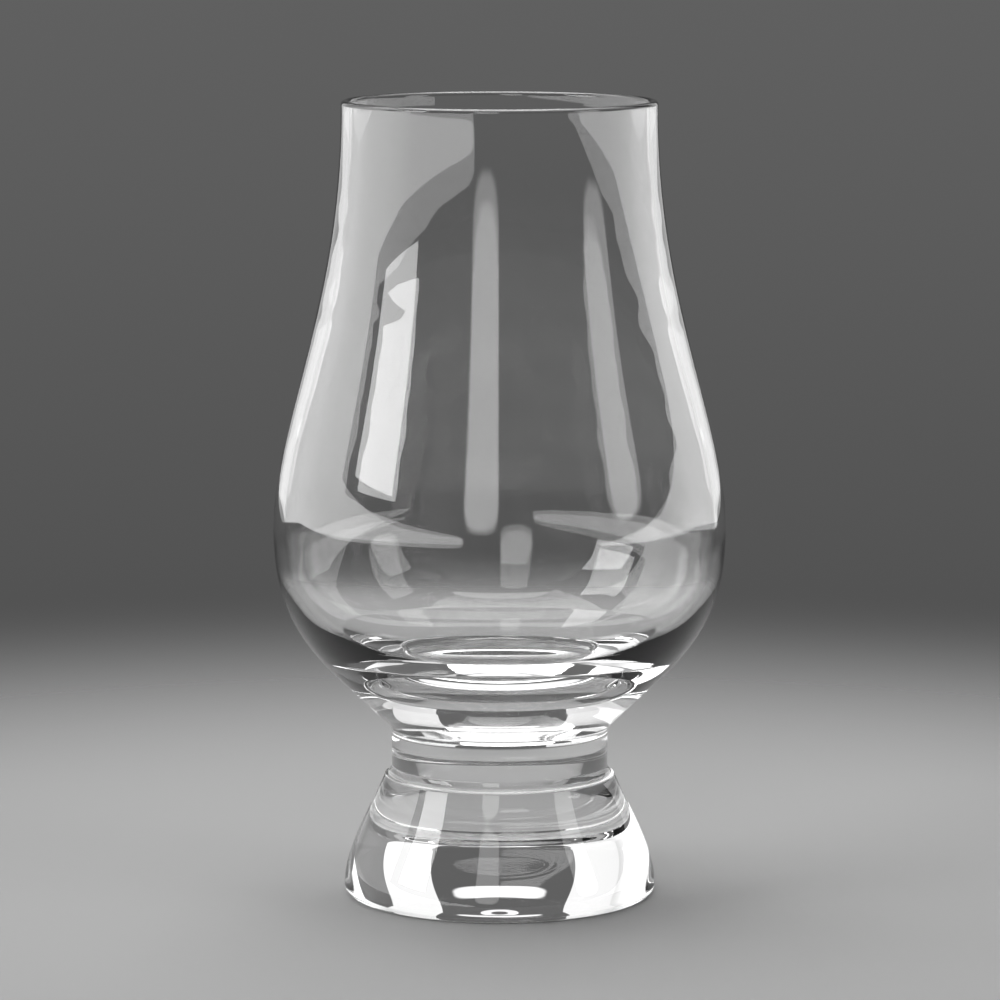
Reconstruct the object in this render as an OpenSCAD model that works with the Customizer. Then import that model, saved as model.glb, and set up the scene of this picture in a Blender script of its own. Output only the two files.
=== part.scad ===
// Whisky nosing glass: a bowl that closes to a tall chimney, on a short solid stem and a
// heavy flared foot. The bowl's bottom is a thick lens of clear glass.
// The glass stands on the plane z = 0 with its axis on Z, and all sizes are in millimetres.
// Each part is one turned outline, drawn as points of [radius, height].
// A reach is how far a curve keeps the direction that it starts or ends with.

/* [Mouth] */
// Height of the glass from the table to the lip
glass_h = 115.4; // [108:0.1:125]
// Outer diameter of the mouth
mouth_d = 45.5; // [42:0.1:50]
// Wall at the lip, which is melted to a half round
lip_wall = 1.2; // [0.9:0.1:1.8]
// Reach of the upright wall below the lip, before the chimney widens
chimney_reach = 29; // [20:0.5:38]

/* [Bowl] */
// Outer diameter of the bowl at its widest ring
belly_d = 65.4; // [60:0.1:72]
// Height of the widest ring above the table
belly_z = 53.5; // [50:0.5:58]
// Wall at the widest ring
belly_wall = 1.6; // [1.3:0.1:2.4]
// Reach of the upright wall above the widest ring
belly_reach_up = 16; // [10:0.5:24]
// Reach of the upright wall below the widest ring
belly_reach_down = 15.3; // [11:0.1:18]

/* [Cavity] */
// Reach of its upright wall below the lip, over the outside's so that the wall thins to the lip
cavity_chimney_reach = 34; // [28:0.5:40]
// Reach of its upright side below the widest ring
cavity_side_reach = 8.8; // [6:0.1:11]
// Height of its lowest point above the table
cavity_floor_z = 33.6; // [31:0.1:36]
// Reach of the flat middle of its floor
cavity_floor_reach = 11; // [7:0.5:14]
// Rise of the faint ring round the floor, where the side starts, above the lowest point
cavity_ring_rise = 3.3; // [2.6:0.1:4.2]
// Distance of that ring inside the cavity's widest radius
cavity_ring_inset = 7.5; // [6.5:0.1:9]
// Slope of the floor where it meets the ring, in degrees from level
floor_slope = 24; // [18:1:30]
// Reach of that slope down the floor
floor_slope_reach = 6; // [3:0.1:8]
// Slope of the side where it leaves the ring, in degrees from level
side_slope = 34; // [31:1:45]
// Reach of that slope up the side
side_slope_reach = 5.6; // [4:0.1:7]

/* [Underside of the bowl] */
// Slope of the bowl's underside where it meets the stem, in degrees from level
underside_slope = 45; // [38:1:52]
// Reach of that slope up the underside
underside_reach = 12.9; // [8:0.1:16]
// Radius of the fillet between the underside and the stem
stem_fillet_r = 2.1; // [1:0.1:3.5]

/* [Stem] */
// Diameter of the solid stem
stem_d = 31.4; // [28:0.1:35]
// Height of the stem between the foot and the bowl
stem_h = 4.4; // [3:0.1:7]

/* [Foot] */
// Height of the foot
foot_h = 19.3; // [17:0.1:23]
// Diameter of the foot at its widest ring
foot_d = 45.3; // [43:0.1:52]
// Radius of the hollow fillet at the foot's top
cove_r = 1.85; // [1:0.05:2.5]
// Turn of that fillet from upright, in degrees
cove_turn = 55; // [40:1:70]
// Radius of the rounded shoulder below the fillet
shoulder_r = 0.8; // [0.4:0.1:1.6]
// Lean of the flank where it leaves the shoulder, in degrees from upright
flank_lean = 23; // [15:1:30]
// Reach of the leaning flank below the shoulder
flank_reach = 5.3; // [2:0.1:8]
// Reach of the upright skirt above the bottom corner
skirt_reach = 4.9; // [2:0.1:8]
// Radius of the bottom corner
foot_corner_r = 1.45; // [0.8:0.05:2.5]
// Width of the flat ring that the glass rests on
rest_ring_w = 1.2; // [0.6:0.1:2.5]
// Depth of the dish in the foot's underside
dish_depth = 2; // [0.5:0.1:4]
// Reach of the dish's soft edge inside the resting ring
dish_edge_reach = 3; // [1:0.5:6]
// Reach of the flat crown of the dish
dish_crown_reach = 11; // [5:0.5:15]

/* [Smoothness] */
// Straight steps in each long curve
long_steps = 28; // [16:2:40]
// Straight steps in each short arc
arc_steps = 8; // [6:1:12]
// Facets round the glass
round_steps = 144; // [96:12:192]

/* [Hidden] */
glass_colour = [0.84, 0.88, 0.89, 0.5];

mouth_r = mouth_d / 2;
belly_r = belly_d / 2;
stem_r = stem_d / 2;
foot_r = foot_d / 2;
lip_r = lip_wall / 2;
stem_top_z = foot_h + stem_h;
lip_z = glass_h - lip_r;

// Point at radius r and angle a about a centre.
function around(centre, r, a) = centre + r * [cos(a), sin(a)];

// Round arc from one angle to another.
function arc(centre, r, from, to) =
    [for (i = [0:arc_steps]) around(centre, r, from + (to - from) * i / arc_steps)];

// Smooth curve from a to d that leaves a towards b and reaches d from c.
function sweep(a, b, c, d) =
    [for (i = [0:long_steps])
        let (t = i / long_steps, u = 1 - t)
        u * u * u * a + 3 * u * u * t * b + 3 * u * t * t * c + t * t * t * d];

// A curve without its first point, to follow a curve that ends there.
function onward(points) = [for (i = [1:len(points) - 1]) points[i]];

// One skin of the chimney and upper bowl, from the widest ring up to the mouth.
function upper_skin(widest_r, top_r, top_reach) =
    sweep([widest_r, belly_z], [widest_r, belly_z + belly_reach_up],
          [top_r, lip_z - top_reach], [top_r, lip_z]);

function reversed(points) = [for (i = [len(points) - 1:-1:0]) points[i]];

module turned(points) {
    color(glass_colour)
        rotate_extrude($fn = round_steps)
            polygon(points);
}

module bowl() {
    cavity_r = belly_r - belly_wall;
    ring = [cavity_r - cavity_ring_inset, cavity_floor_z + cavity_ring_rise];
    fillet_centre = [stem_r + stem_fillet_r, stem_top_z];
    underside_start = around(fillet_centre, stem_fillet_r, 90 + underside_slope);
    cavity_floor = sweep([0, cavity_floor_z], [cavity_floor_reach, cavity_floor_z],
                         around(ring, floor_slope_reach, 180 + floor_slope), ring);
    cavity_side = sweep(ring, around(ring, side_slope_reach, side_slope),
                        [cavity_r, belly_z - cavity_side_reach], [cavity_r, belly_z]);
    lip = arc([mouth_r - lip_r, lip_z], lip_r, 180, 0);
    underside = sweep([belly_r, belly_z], [belly_r, belly_z - belly_reach_down],
                      around(underside_start, underside_reach, underside_slope), underside_start);
    fillet = arc(fillet_centre, stem_fillet_r, 90 + underside_slope, 180);
    turned(concat(
        cavity_floor,
        onward(cavity_side),
        onward(upper_skin(cavity_r, mouth_r - lip_wall, cavity_chimney_reach)),
        onward(lip),
        onward(reversed(upper_skin(belly_r, mouth_r, chimney_reach))),
        onward(underside),
        onward(fillet),
        [[0, stem_top_z]]
    ));
}

module stem() {
    turned([[0, foot_h], [stem_r, foot_h], [stem_r, stem_top_z], [0, stem_top_z]]);
}

module foot() {
    cove_centre = [stem_r + cove_r, foot_h];
    cove_end = around(cove_centre, cove_r, 180 + cove_turn);
    shoulder_centre = around(cove_end, shoulder_r, 180 + cove_turn);
    flank_start = around(shoulder_centre, shoulder_r, flank_lean);
    ring_r = foot_r - foot_corner_r;
    dish_r = ring_r - rest_ring_w;
    cove = arc(cove_centre, cove_r, 180, 180 + cove_turn);
    shoulder = arc(shoulder_centre, shoulder_r, cove_turn, flank_lean);
    flank = sweep(flank_start, around(flank_start, flank_reach, flank_lean - 90),
                  [foot_r, foot_corner_r + skirt_reach], [foot_r, foot_corner_r]);
    corner = arc([ring_r, foot_corner_r], foot_corner_r, 0, -90);
    dish = sweep([dish_r, 0], [dish_r - dish_edge_reach, 0],
                 [dish_crown_reach, dish_depth], [0, dish_depth]);
    turned(concat(
        [[0, foot_h]],
        cove,
        onward(shoulder),
        onward(flank),
        onward(corner),
        dish
    ));
}

bowl();
stem();
foot();
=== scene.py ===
"""Whisky nosing glass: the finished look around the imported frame.

Everything is in metres in the frame's own axes. The glass stands on z = 0 with its axis on Z,
and the camera looks along +Y. Outlines are lists of (radius, height).
"""

import math

import bpy
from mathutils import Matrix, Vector


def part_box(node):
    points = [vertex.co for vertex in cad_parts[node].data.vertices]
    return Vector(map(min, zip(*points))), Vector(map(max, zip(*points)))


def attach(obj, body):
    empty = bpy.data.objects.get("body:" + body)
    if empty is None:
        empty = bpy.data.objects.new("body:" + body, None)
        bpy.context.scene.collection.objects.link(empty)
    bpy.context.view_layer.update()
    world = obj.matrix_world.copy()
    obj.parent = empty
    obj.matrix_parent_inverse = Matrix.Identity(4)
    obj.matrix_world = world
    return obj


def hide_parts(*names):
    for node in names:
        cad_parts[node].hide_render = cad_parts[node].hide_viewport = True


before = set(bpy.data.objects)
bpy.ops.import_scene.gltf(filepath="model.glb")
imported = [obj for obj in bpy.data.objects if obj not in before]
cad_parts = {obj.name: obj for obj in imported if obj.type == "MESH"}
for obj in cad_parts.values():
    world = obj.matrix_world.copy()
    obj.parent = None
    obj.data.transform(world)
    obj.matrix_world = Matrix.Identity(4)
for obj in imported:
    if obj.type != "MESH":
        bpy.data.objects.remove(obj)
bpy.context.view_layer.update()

MM = 0.001

# The photograph's frame, in pixels: its side, and the column of the glass's axis
FRAME_PX = 1000
AXIS_COLUMN_PX = 499.6

# Camera, fitted to the ellipses of the lip and the foot
CAMERA_BACK = 723 * MM
CAMERA_UP = 157.6 * MM
CAMERA_DIP = math.radians(7.87)
FOCAL_PX = 5050
SENSOR = 36
CLIP_START = 10 * MM

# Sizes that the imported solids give
BOWL_HIGH, STEM_HIGH, FOOT_HIGH = (Vector(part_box(node)[1]) for node in ("bowl", "stem", "foot"))
GLASS_H = BOWL_HIGH.z
BELLY_R = BOWL_HIGH.x
STEM_R = STEM_HIGH.x
STEM_TOP = STEM_HIGH.z
FOOT_TOP = FOOT_HIGH.z
FOOT_R = FOOT_HIGH.x

# The outline's other sizes, as the part has them
MOUTH_R = 22.75 * MM
LIP_WALL = 1.2 * MM
CHIMNEY_REACH = 29 * MM
BELLY_Z = 53.5 * MM
BELLY_WALL = 1.6 * MM
BELLY_REACH_UP = 16 * MM
BELLY_REACH_DOWN = 15.3 * MM
INNER_CHIMNEY_REACH = 34 * MM
CAVITY_FLOOR_Z = 33.6 * MM
CAVITY_FLOOR_REACH = 11 * MM
FLOOR_SLOPE = 24
FLOOR_SLOPE_REACH = 6 * MM
CAVITY_RING_RISE = 3.3 * MM
CAVITY_RING_INSET = 7.5 * MM
SIDE_SLOPE = 34
SIDE_SLOPE_REACH = 5.6 * MM
CAVITY_SIDE_REACH = 8.8 * MM
UNDERSIDE_SLOPE = 45
UNDERSIDE_REACH = 12.9 * MM
STEM_FILLET_R = 2.1 * MM
COVE_R = 1.85 * MM
COVE_TURN = 55
SHOULDER_R = 0.8 * MM
FLANK_LEAN = 23
FLANK_REACH = 5.3 * MM
SKIRT_REACH = 4.9 * MM
FOOT_CORNER_R = 1.45 * MM
REST_RING_W = 1.2 * MM
DISH_DEPTH = 2 * MM
DISH_EDGE_REACH = 3 * MM
DISH_CROWN_REACH = 11 * MM

# Ripples that blowing leaves on the cavity's wall: how deep, how far apart in height, and over
# which heights they fade in and out
RIPPLE = 0.026 * MM
RIPPLE_PITCH = 10.5 * MM
RIPPLE_FROM = (37 * MM, 44 * MM)
RIPPLE_TO = (92 * MM, 105 * MM)

# The two waves of those ripples: share of the depth, waves per pitch, and how far round the
# axis their phase sways, how often and from where
RIPPLE_WAVES = (
    (0.6, 1.0, 1.1, 1, 0.6),
    (0.4, 1.6, 1.4, 2, 1.9),
)

# Smoothness of the turned mesh: straight steps in a long curve and in a short arc, the degrees
# of an arc's short end steps, and facets round the glass
LONG_STEPS = 56
ARC_STEPS = 14
ARC_EASE = 1
ROUND_STEPS = 204

# The long curves, first in the bowl's outline, that make up the cavity's wall
CAVITY_CURVES = 3

# Glass: colour and refraction, the size and depth of its faint unevenness, and the height and
# radii between which the resting ring is ground dull, with the range of that wear
GLASS = (0.98, 0.98, 0.98, 1)
GLASS_IOR = 1.52
UNEVEN_SCALE = 70
UNEVEN_STRENGTH = 0.5
UNEVEN_DEPTH = 0.02 * MM
WEAR_HEIGHTS = (0.15 * MM, 0.35 * MM)
WEAR_RADII = (19.6 * MM, 20.0 * MM)
WEAR_SCALE = 900
WEAR_NOISE = (0.35, 0.65)
WEAR_ROUGHNESS = (0.3, 0.6)
WEAR_DULLNESS = (0.45, 0.85)


def around(centre, radius, degrees):
    """Point at a radius and angle about a centre."""
    angle = math.radians(degrees)
    return Vector(centre) + radius * Vector((math.cos(angle), math.sin(angle)))


def arc(centre, radius, start, end):
    """Round arc from one angle to another, in degrees.

    Its first and last steps are short, so that the long faces beside it shade as they lie.
    """
    ease = math.copysign(ARC_EASE, end - start)
    angles = [start + (end - start) * i / ARC_STEPS for i in range(ARC_STEPS + 1)]
    angles = [start, start + ease] + angles[1:-1] + [end - ease, end]
    return [around(centre, radius, angle) for angle in angles]


def sweep(a, b, c, d):
    """Smooth curve from a to d that leaves a towards b and reaches d from c."""
    a, b, c, d = (Vector(point) for point in (a, b, c, d))
    points = []
    for i in range(LONG_STEPS + 1):
        t = i / LONG_STEPS
        u = 1 - t
        points.append(u * u * u * a + 3 * u * u * t * b + 3 * u * t * t * c + t * t * t * d)
    return points


def upper_skin(widest_r, top_r, top_reach):
    """One skin of the chimney and upper bowl, from the widest ring up to the mouth."""
    lip_z = GLASS_H - LIP_WALL / 2
    return sweep((widest_r, BELLY_Z), (widest_r, BELLY_Z + BELLY_REACH_UP),
                 (top_r, lip_z - top_reach), (top_r, lip_z))


def bowl_outline():
    """From the middle of the cavity's floor, over the lip, to the stem."""
    cavity_r = BELLY_R - BELLY_WALL
    lip_r = LIP_WALL / 2
    fillet_centre = (STEM_R + STEM_FILLET_R, STEM_TOP)
    underside_start = around(fillet_centre, STEM_FILLET_R, 90 + UNDERSIDE_SLOPE)
    ring = (cavity_r - CAVITY_RING_INSET, CAVITY_FLOOR_Z + CAVITY_RING_RISE)
    floor = sweep((0, CAVITY_FLOOR_Z), (CAVITY_FLOOR_REACH, CAVITY_FLOOR_Z),
                  around(ring, FLOOR_SLOPE_REACH, 180 + FLOOR_SLOPE), ring)
    side = sweep(ring, around(ring, SIDE_SLOPE_REACH, SIDE_SLOPE),
                 (cavity_r, BELLY_Z - CAVITY_SIDE_REACH), (cavity_r, BELLY_Z))
    inner = upper_skin(cavity_r, MOUTH_R - LIP_WALL, INNER_CHIMNEY_REACH)
    outer = upper_skin(BELLY_R, MOUTH_R, CHIMNEY_REACH)
    lip = arc((MOUTH_R - lip_r, GLASS_H - lip_r), lip_r, 180, 0)
    underside = sweep((BELLY_R, BELLY_Z), (BELLY_R, BELLY_Z - BELLY_REACH_DOWN),
                      around(underside_start, UNDERSIDE_REACH, UNDERSIDE_SLOPE), underside_start)
    fillet = arc(fillet_centre, STEM_FILLET_R, 90 + UNDERSIDE_SLOPE, 180)
    return (floor + side[1:] + inner[1:] + lip[1:]
            + outer[-2::-1] + underside[1:] + fillet[1:])


def foot_outline():
    """From the stem, down the flank and under the foot, to the middle of the dish."""
    cove_centre = (STEM_R + COVE_R, FOOT_TOP)
    cove_end = around(cove_centre, COVE_R, 180 + COVE_TURN)
    shoulder_centre = around(cove_end, SHOULDER_R, 180 + COVE_TURN)
    flank_start = around(shoulder_centre, SHOULDER_R, FLANK_LEAN)
    ring_r = FOOT_R - FOOT_CORNER_R
    dish_r = ring_r - REST_RING_W
    cove = arc(cove_centre, COVE_R, 180, 180 + COVE_TURN)
    shoulder = arc(shoulder_centre, SHOULDER_R, COVE_TURN, FLANK_LEAN)
    flank = sweep(flank_start, around(flank_start, FLANK_REACH, FLANK_LEAN - 90),
                  (FOOT_R, FOOT_CORNER_R + SKIRT_REACH), (FOOT_R, FOOT_CORNER_R))
    corner = arc((ring_r, FOOT_CORNER_R), FOOT_CORNER_R, 0, -90)
    dish = sweep((dish_r, 0), (dish_r - DISH_EDGE_REACH, 0),
                 (DISH_CROWN_REACH, DISH_DEPTH), (0, DISH_DEPTH))
    return cove + shoulder[1:] + flank[1:] + corner[1:] + dish


def fade_in(value, start, end):
    """A smooth step from 0 to 1 as value goes from start to end."""
    t = min(max((value - start) / (end - start), 0), 1)
    return t * t * (3 - 2 * t)


def ripple(z, angle):
    """How far the cavity's wall waves in or out at a height and an angle round the axis."""
    turn = 2 * math.pi * z / RIPPLE_PITCH
    waves = sum(share * math.sin(rate * turn + sway * math.sin(times * angle + start))
                for share, rate, sway, times, start in RIPPLE_WAVES)
    return RIPPLE * waves * fade_in(z, *RIPPLE_FROM) * (1 - fade_in(z, *RIPPLE_TO))


def turned_mesh(name, outline, rippled):
    """A closed smooth mesh of an outline turned about Z. Both its ends lie on the axis.

    The outline's first points, as many as rippled says, carry the ripples.
    """
    ring_angles = [2 * math.pi * i / ROUND_STEPS for i in range(ROUND_STEPS)]
    bottom, top = outline[0], outline[-1]
    rings = outline[1:-1]
    vertices = [(0, 0, bottom.y)]
    for k, point in enumerate(rings):
        for a in ring_angles:
            r = point.x + (ripple(point.y, a) if k < rippled else 0)
            vertices.append((r * math.cos(a), r * math.sin(a), point.y))
    vertices.append((0, 0, top.y))
    last = len(vertices) - 1
    faces = []
    for i in range(ROUND_STEPS):
        j = (i + 1) % ROUND_STEPS
        faces.append((0, 1 + i, 1 + j))
        for k in range(len(rings) - 1):
            near = 1 + k * ROUND_STEPS
            far = near + ROUND_STEPS
            faces.append((near + i, far + i, far + j, near + j))
        end = 1 + (len(rings) - 1) * ROUND_STEPS
        faces.append((last, end + j, end + i))
    mesh = bpy.data.meshes.new(name)
    mesh.from_pydata(vertices, [], faces)
    mesh.polygons.foreach_set("use_smooth", [True] * len(mesh.polygons))
    mesh.update()
    return mesh


def new_object(name, data):
    """An object in the scene."""
    made = bpy.data.objects.new(name, data)
    bpy.context.scene.collection.objects.link(made)
    return made


def clear_glass_material():
    """Clear fire-polished glass, faintly uneven, and ground dull on the ring that it stands on."""
    material = bpy.data.materials.new("clear_glass")
    material.use_nodes = True
    tree = material.node_tree
    nodes = tree.nodes
    links = tree.links
    shader = nodes["Principled BSDF"]
    place = nodes.new("ShaderNodeTexCoord")
    split = nodes.new("ShaderNodeSeparateXYZ")
    links.new(place.outputs["Object"], split.inputs[0])
    length = nodes.new("ShaderNodeVectorMath")
    length.operation = "LENGTH"
    links.new(place.outputs["Object"], length.inputs[0])
    wear = nodes.new("ShaderNodeTexNoise")
    wear.inputs["Scale"].default_value = WEAR_SCALE
    wear.inputs["Detail"].default_value = 3
    links.new(place.outputs["Object"], wear.inputs["Vector"])
    low = ramp(tree, split.outputs["Z"], *WEAR_HEIGHTS, 1.0, 0.0)
    outer = ramp(tree, length.outputs["Value"], *WEAR_RADII, 0.0, 1.0)
    ring = maths(tree, "MULTIPLY", low, outer)
    roughness = ramp(tree, wear.outputs["Fac"], *WEAR_NOISE, *WEAR_ROUGHNESS)
    links.new(maths(tree, "MULTIPLY", ring, roughness), shader.inputs["Roughness"])
    dullness = ramp(tree, wear.outputs["Fac"], *WEAR_NOISE, *WEAR_DULLNESS)
    ground = maths(tree, "MULTIPLY", ring, dullness)
    links.new(maths(tree, "SUBTRACT", 1.0, ground), shader.inputs["Transmission Weight"])
    waves = nodes.new("ShaderNodeTexNoise")
    waves.inputs["Scale"].default_value = UNEVEN_SCALE
    waves.inputs["Detail"].default_value = 0
    links.new(place.outputs["Object"], waves.inputs["Vector"])
    bump = nodes.new("ShaderNodeBump")
    bump.inputs["Strength"].default_value = UNEVEN_STRENGTH
    bump.inputs["Distance"].default_value = UNEVEN_DEPTH
    links.new(waves.outputs["Fac"], bump.inputs["Height"])
    links.new(bump.outputs["Normal"], shader.inputs["Normal"])
    shader.inputs["Base Color"].default_value = GLASS
    shader.inputs["IOR"].default_value = GLASS_IOR
    return material


def make_glass():
    """The whole glass as one skin, as the real one has no inner faces where its parts meet."""
    outline = bowl_outline() + foot_outline()
    mesh = turned_mesh("nosing_glass", outline, CAVITY_CURVES * LONG_STEPS)
    glass = new_object("nosing_glass", mesh)
    glass.data.materials.append(clear_glass_material())
    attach(glass, "root")
    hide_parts("bowl", "stem", "foot")
    return glass


def make_camera():
    """The photograph's camera."""
    data = bpy.data.cameras.new("camera")
    data.sensor_width = SENSOR
    data.lens = FOCAL_PX * SENSOR / FRAME_PX
    data.clip_start = CLIP_START
    camera = new_object("camera", data)
    side = (FRAME_PX / 2 - AXIS_COLUMN_PX) * CAMERA_BACK / FOCAL_PX
    camera.location = (side, -CAMERA_BACK, CAMERA_UP)
    camera.rotation_euler = (math.pi / 2 - CAMERA_DIP, 0, 0)
    bpy.context.scene.camera = camera


# Backdrop: its colours, and the elevations in degrees between which one turns into the other
BACKDROP_LOW = (0.080, 0.080, 0.080, 1)
BACKDROP_HIGH = (0.120, 0.120, 0.120, 1)
BACKDROP_TURN = (-12.0, 0.0)

# Floor: its colour, radius and facets, how far it lies below the glass, and the radii between
# which it fades into the room
FLOOR = (0.32, 0.32, 0.32, 1)
FLOOR_R = 0.7
FLOOR_POINTS = 96
FLOOR_DROP = 0.02 * MM
FLOOR_FADE = (0.06, 0.30)
FLOOR_ROUGHNESS = 0.6
FLOOR_SPECULAR = 0.2

# Soft panels round the glass. Azimuth 0 is the camera's side and 90 is on its right. Each panel
# runs from one azimuth to another, and its low and high edges go straight from their first
# elevation to their second, as its radiance does. Its rounding reaches that far in from its
# sides, its low edge and its high edge. Angles are in degrees.
# from, to, low edge, high edge, rounding, radiance
PANELS = {
    "left_back_low": (197.5, 216, (-5, -6.5), (4.5, 4.5), (1, 1, 1), (0.85, 0.72)),
    "left_back": (198, 216, (3.5, 3.5), (46, 46), (1, 1, 1), (0.95, 0.95)),
    "left_turn": (215, 237, (-6.5, -4.3), (45, 45), (1, 1, 1), (0.65, 2.1)),
    "left_side": (236, 269.8, (-4.3, -4.8), (45, 45), (1, 1, 1), (2.05, 3.3)),
    "left_low_near": (269, 291, (-4.8, -4.4), (8.2, 4.8), (0.6, 0.6, 0.6), (3.3, 3.2)),
    "left_low_tip": (283, 343, (-4.4, -3.6), (5.8, 1.2), (8, 1.2, 1.2), (3.0, 3.0)),
    "right_back_low": (145, 163.5, (-6.5, -5), (4.5, 4.5), (1, 1, 1), (0.69, 0.85)),
    "right_back": (146, 164, (3.5, 3.5), (46, 46), (1, 1, 1), (0.95, 0.95)),
    "right_side": (117, 146, (-4.5, -6.5), (12.5, 6.6), (1, 1, 1), (2.3, 0.66)),
    "right_mid": (89, 118, (-4.5, -4.5), (1.5, 12), (0.8, 0.8, 0.8), (2.6, 2.3)),
    "right_low": (52, 90, (-4.6, -4.5), (-3.4, 1.7), (0.8, 0.8, 0.8), (2.8, 2.6)),
    "window": (277.9, 302.8, (9.8, 9.4), (29.5, 38), (0.4, 0.4, 0.4), (7.6, 7.6)),
    "strip_near": (340, 361, (1.5, 1.5), (40, 40), (8, 9, 2), (3.1, 3.1)),
    "strip_right": (58, 80.5, (1.5, 1.5), (36, 36), (8, 9, 2), (3.1, 3.1)),
    "back": (167.5, 192.5, (20.5, 20.5), (27.5, 27.5), (6, 2.5, 2.5), (1.0, 1.0)),
}

# Panels overhead, on a ceiling one unit up: left and right edge, near edge, far edge, rounding,
# radiance
CEILING_PANELS = {
    "overhead": (-0.52, 0.34, (-0.25, -0.25), (0.8, 0.8), (0.04, 0.04, 0.04), (3.6, 3.6)),
    "overhead_back": (-0.62, 0.62, (1.02, 1.02), (1.6, 1.6), (0.04, 0.04, 0.04), (1.0, 1.0)),
}

# The contour of a panel's rounded corners, from dark to fully lit
PANEL_EDGE = (0.1, 0.3)

# Least height of a direction that meets the ceiling
CEILING_LOW = 0.001


def maths(tree, operation, *values):
    """A math node's output. A value is a number or another node's output."""
    node = tree.nodes.new("ShaderNodeMath")
    node.operation = operation
    for socket, value in zip(node.inputs, values):
        if isinstance(value, bpy.types.NodeSocket):
            tree.links.new(value, socket)
        else:
            socket.default_value = value
    return node.outputs["Value"]


def ramp(tree, value, start, end, first, last, interpolation="SMOOTHSTEP"):
    """A step from first to last as value goes from start to end."""
    node = tree.nodes.new("ShaderNodeMapRange")
    node.interpolation_type = interpolation
    node.clamp = interpolation != "LINEAR"
    tree.links.new(value, node.inputs["Value"])
    node.inputs["From Min"].default_value = start
    node.inputs["From Max"].default_value = end
    node.inputs["To Min"].default_value = first
    node.inputs["To Max"].default_value = last
    return node.outputs["Result"]


def panel_light(tree, azimuth, elevation, panel):
    """The radiance of one panel. Its rounded edge is a contour of the distances to its sides."""
    start, end, low, high, rounding, radiance = panel
    side_reach, low_reach, high_reach = rounding
    low_edge = ramp(tree, azimuth, start, end, *low, "LINEAR")
    high_edge = ramp(tree, azimuth, start, end, *high, "LINEAR")
    depths = (
        (maths(tree, "SUBTRACT", azimuth, start), side_reach),
        (maths(tree, "SUBTRACT", end, azimuth), side_reach),
        (maths(tree, "SUBTRACT", elevation, low_edge), low_reach),
        (maths(tree, "SUBTRACT", high_edge, elevation), high_reach),
    )
    inside = None
    for depth, reach in depths:
        share = maths(tree, "DIVIDE", depth, reach)
        held = maths(tree, "MINIMUM", maths(tree, "MAXIMUM", share, 0.0), 1.0)
        inside = held if inside is None else maths(tree, "MULTIPLY", inside, held)
    strength = ramp(tree, azimuth, start, end, *radiance, "LINEAR")
    return maths(tree, "MULTIPLY", strength, ramp(tree, inside, *PANEL_EDGE, 0.0, 1.0))


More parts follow.
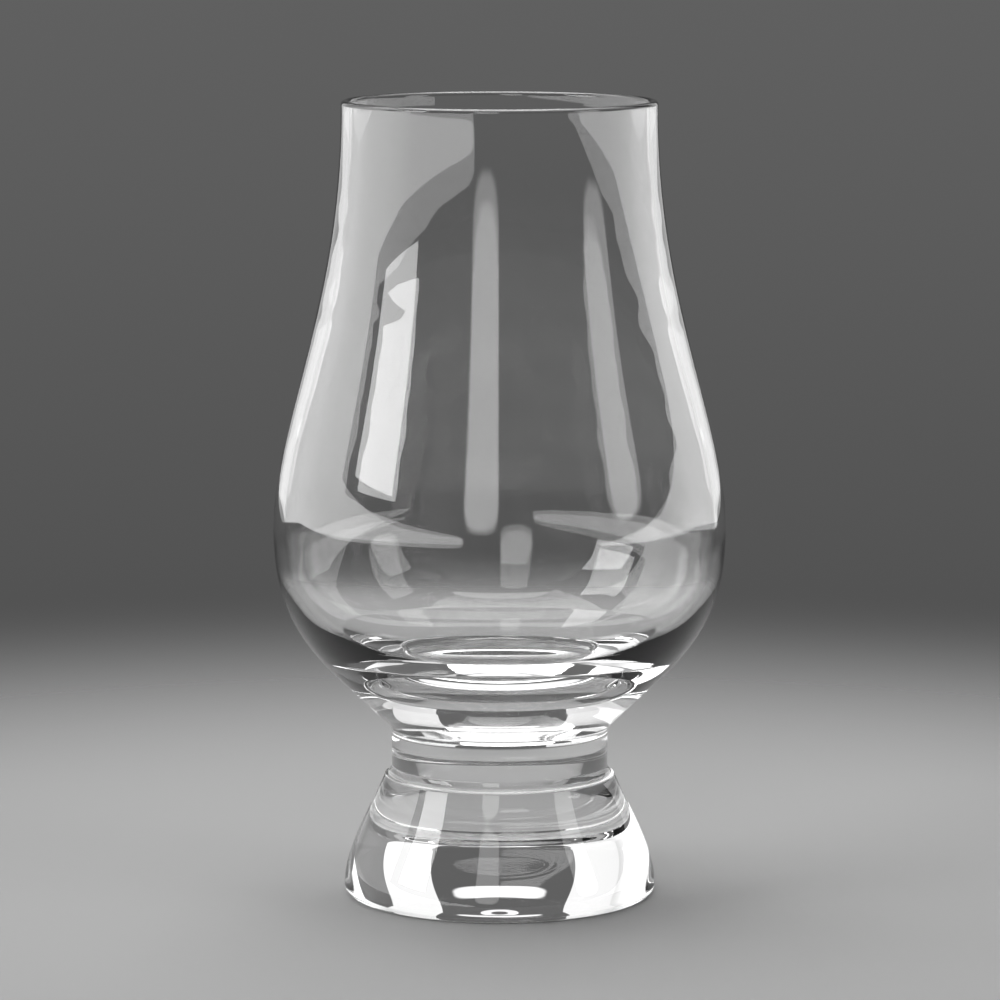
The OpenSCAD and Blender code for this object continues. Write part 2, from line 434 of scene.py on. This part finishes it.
def make_world():
    """A plain grey room with soft light panels, which the camera doesn't see directly."""
    world = bpy.data.worlds.new("room")
    bpy.context.scene.world = world
    world.use_nodes = True
    tree = world.node_tree
    nodes = tree.nodes
    links = tree.links
    place = nodes.new("ShaderNodeTexCoord")
    split = nodes.new("ShaderNodeSeparateXYZ")
    links.new(place.outputs["Generated"], split.inputs[0])
    from_left = maths(tree, "MULTIPLY", split.outputs["X"], -1.0)
    turn = maths(tree, "ARCTAN2", from_left, split.outputs["Y"])
    azimuth = maths(tree, "ADD", maths(tree, "DEGREES", turn), 180.0)
    elevation = maths(tree, "DEGREES", maths(tree, "ARCSINE", split.outputs["Z"]))
    above = maths(tree, "MAXIMUM", split.outputs["Z"], CEILING_LOW)
    across = maths(tree, "DIVIDE", split.outputs["X"], above)
    along = maths(tree, "DIVIDE", split.outputs["Y"], above)
    light = 0.0
    for places, panels in (((azimuth, elevation), PANELS), ((across, along), CEILING_PANELS)):
        for panel in panels.values():
            light = maths(tree, "MAXIMUM", light, panel_light(tree, *places, panel))
    rays = nodes.new("ShaderNodeLightPath")
    unseen = maths(tree, "SUBTRACT", 1.0, rays.outputs["Is Camera Ray"])
    shade = nodes.new("ShaderNodeMix")
    shade.data_type = "RGBA"
    links.new(ramp(tree, elevation, *BACKDROP_TURN, 0.0, 1.0), shade.inputs["Factor"])
    shade.inputs["A"].default_value = BACKDROP_LOW
    shade.inputs["B"].default_value = BACKDROP_HIGH
    room = nodes["Background"]
    links.new(shade.outputs["Result"], room.inputs["Color"])
    panels = nodes.new("ShaderNodeBackground")
    links.new(maths(tree, "MULTIPLY", light, unseen), panels.inputs["Strength"])
    panels.inputs["Color"].default_value = (1, 1, 1, 1)
    both = nodes.new("ShaderNodeAddShader")
    links.new(room.outputs["Background"], both.inputs[0])
    links.new(panels.outputs["Background"], both.inputs[1])
    links.new(both.outputs["Shader"], nodes["World Output"].inputs["Surface"])


def make_floor():
    """A plain pale floor that fades into the room, a hair below the glass."""
    angles = [2 * math.pi * i / FLOOR_POINTS for i in range(FLOOR_POINTS)]
    vertices = [(0, 0, 0)]
    vertices += [(FLOOR_R * math.cos(a), FLOOR_R * math.sin(a), 0) for a in angles]
    faces = [(0, 1 + i, 1 + (i + 1) % FLOOR_POINTS) for i in range(FLOOR_POINTS)]
    mesh = bpy.data.meshes.new("floor")
    mesh.from_pydata(vertices, [], faces)
    floor = new_object("floor", mesh)
    floor.location.z = -FLOOR_DROP
    material = bpy.data.materials.new("floor")
    material.use_nodes = True
    nodes = material.node_tree.nodes
    links = material.node_tree.links
    shader = nodes["Principled BSDF"]
    shader.inputs["Base Color"].default_value = FLOOR
    shader.inputs["Roughness"].default_value = FLOOR_ROUGHNESS
    shader.inputs["Specular IOR Level"].default_value = FLOOR_SPECULAR
    place = nodes.new("ShaderNodeTexCoord")
    length = nodes.new("ShaderNodeVectorMath")
    length.operation = "LENGTH"
    links.new(place.outputs["Object"], length.inputs[0])
    fade = nodes.new("ShaderNodeMapRange")
    fade.interpolation_type = "SMOOTHERSTEP"
    fade.inputs["From Min"].default_value = FLOOR_FADE[0]
    fade.inputs["From Max"].default_value = FLOOR_FADE[1]
    links.new(length.outputs["Value"], fade.inputs["Value"])
    clear = nodes.new("ShaderNodeBsdfTransparent")
    mix = nodes.new("ShaderNodeMixShader")
    links.new(fade.outputs["Result"], mix.inputs["Fac"])
    links.new(shader.outputs["BSDF"], mix.inputs[1])
    links.new(clear.outputs["BSDF"], mix.inputs[2])
    links.new(mix.outputs["Shader"], nodes["Material Output"].inputs["Surface"])
    floor.data.materials.append(material)


make_camera()
make_world()
make_floor()
make_glass()

bpy.context.scene.view_settings.view_transform = "Standard"
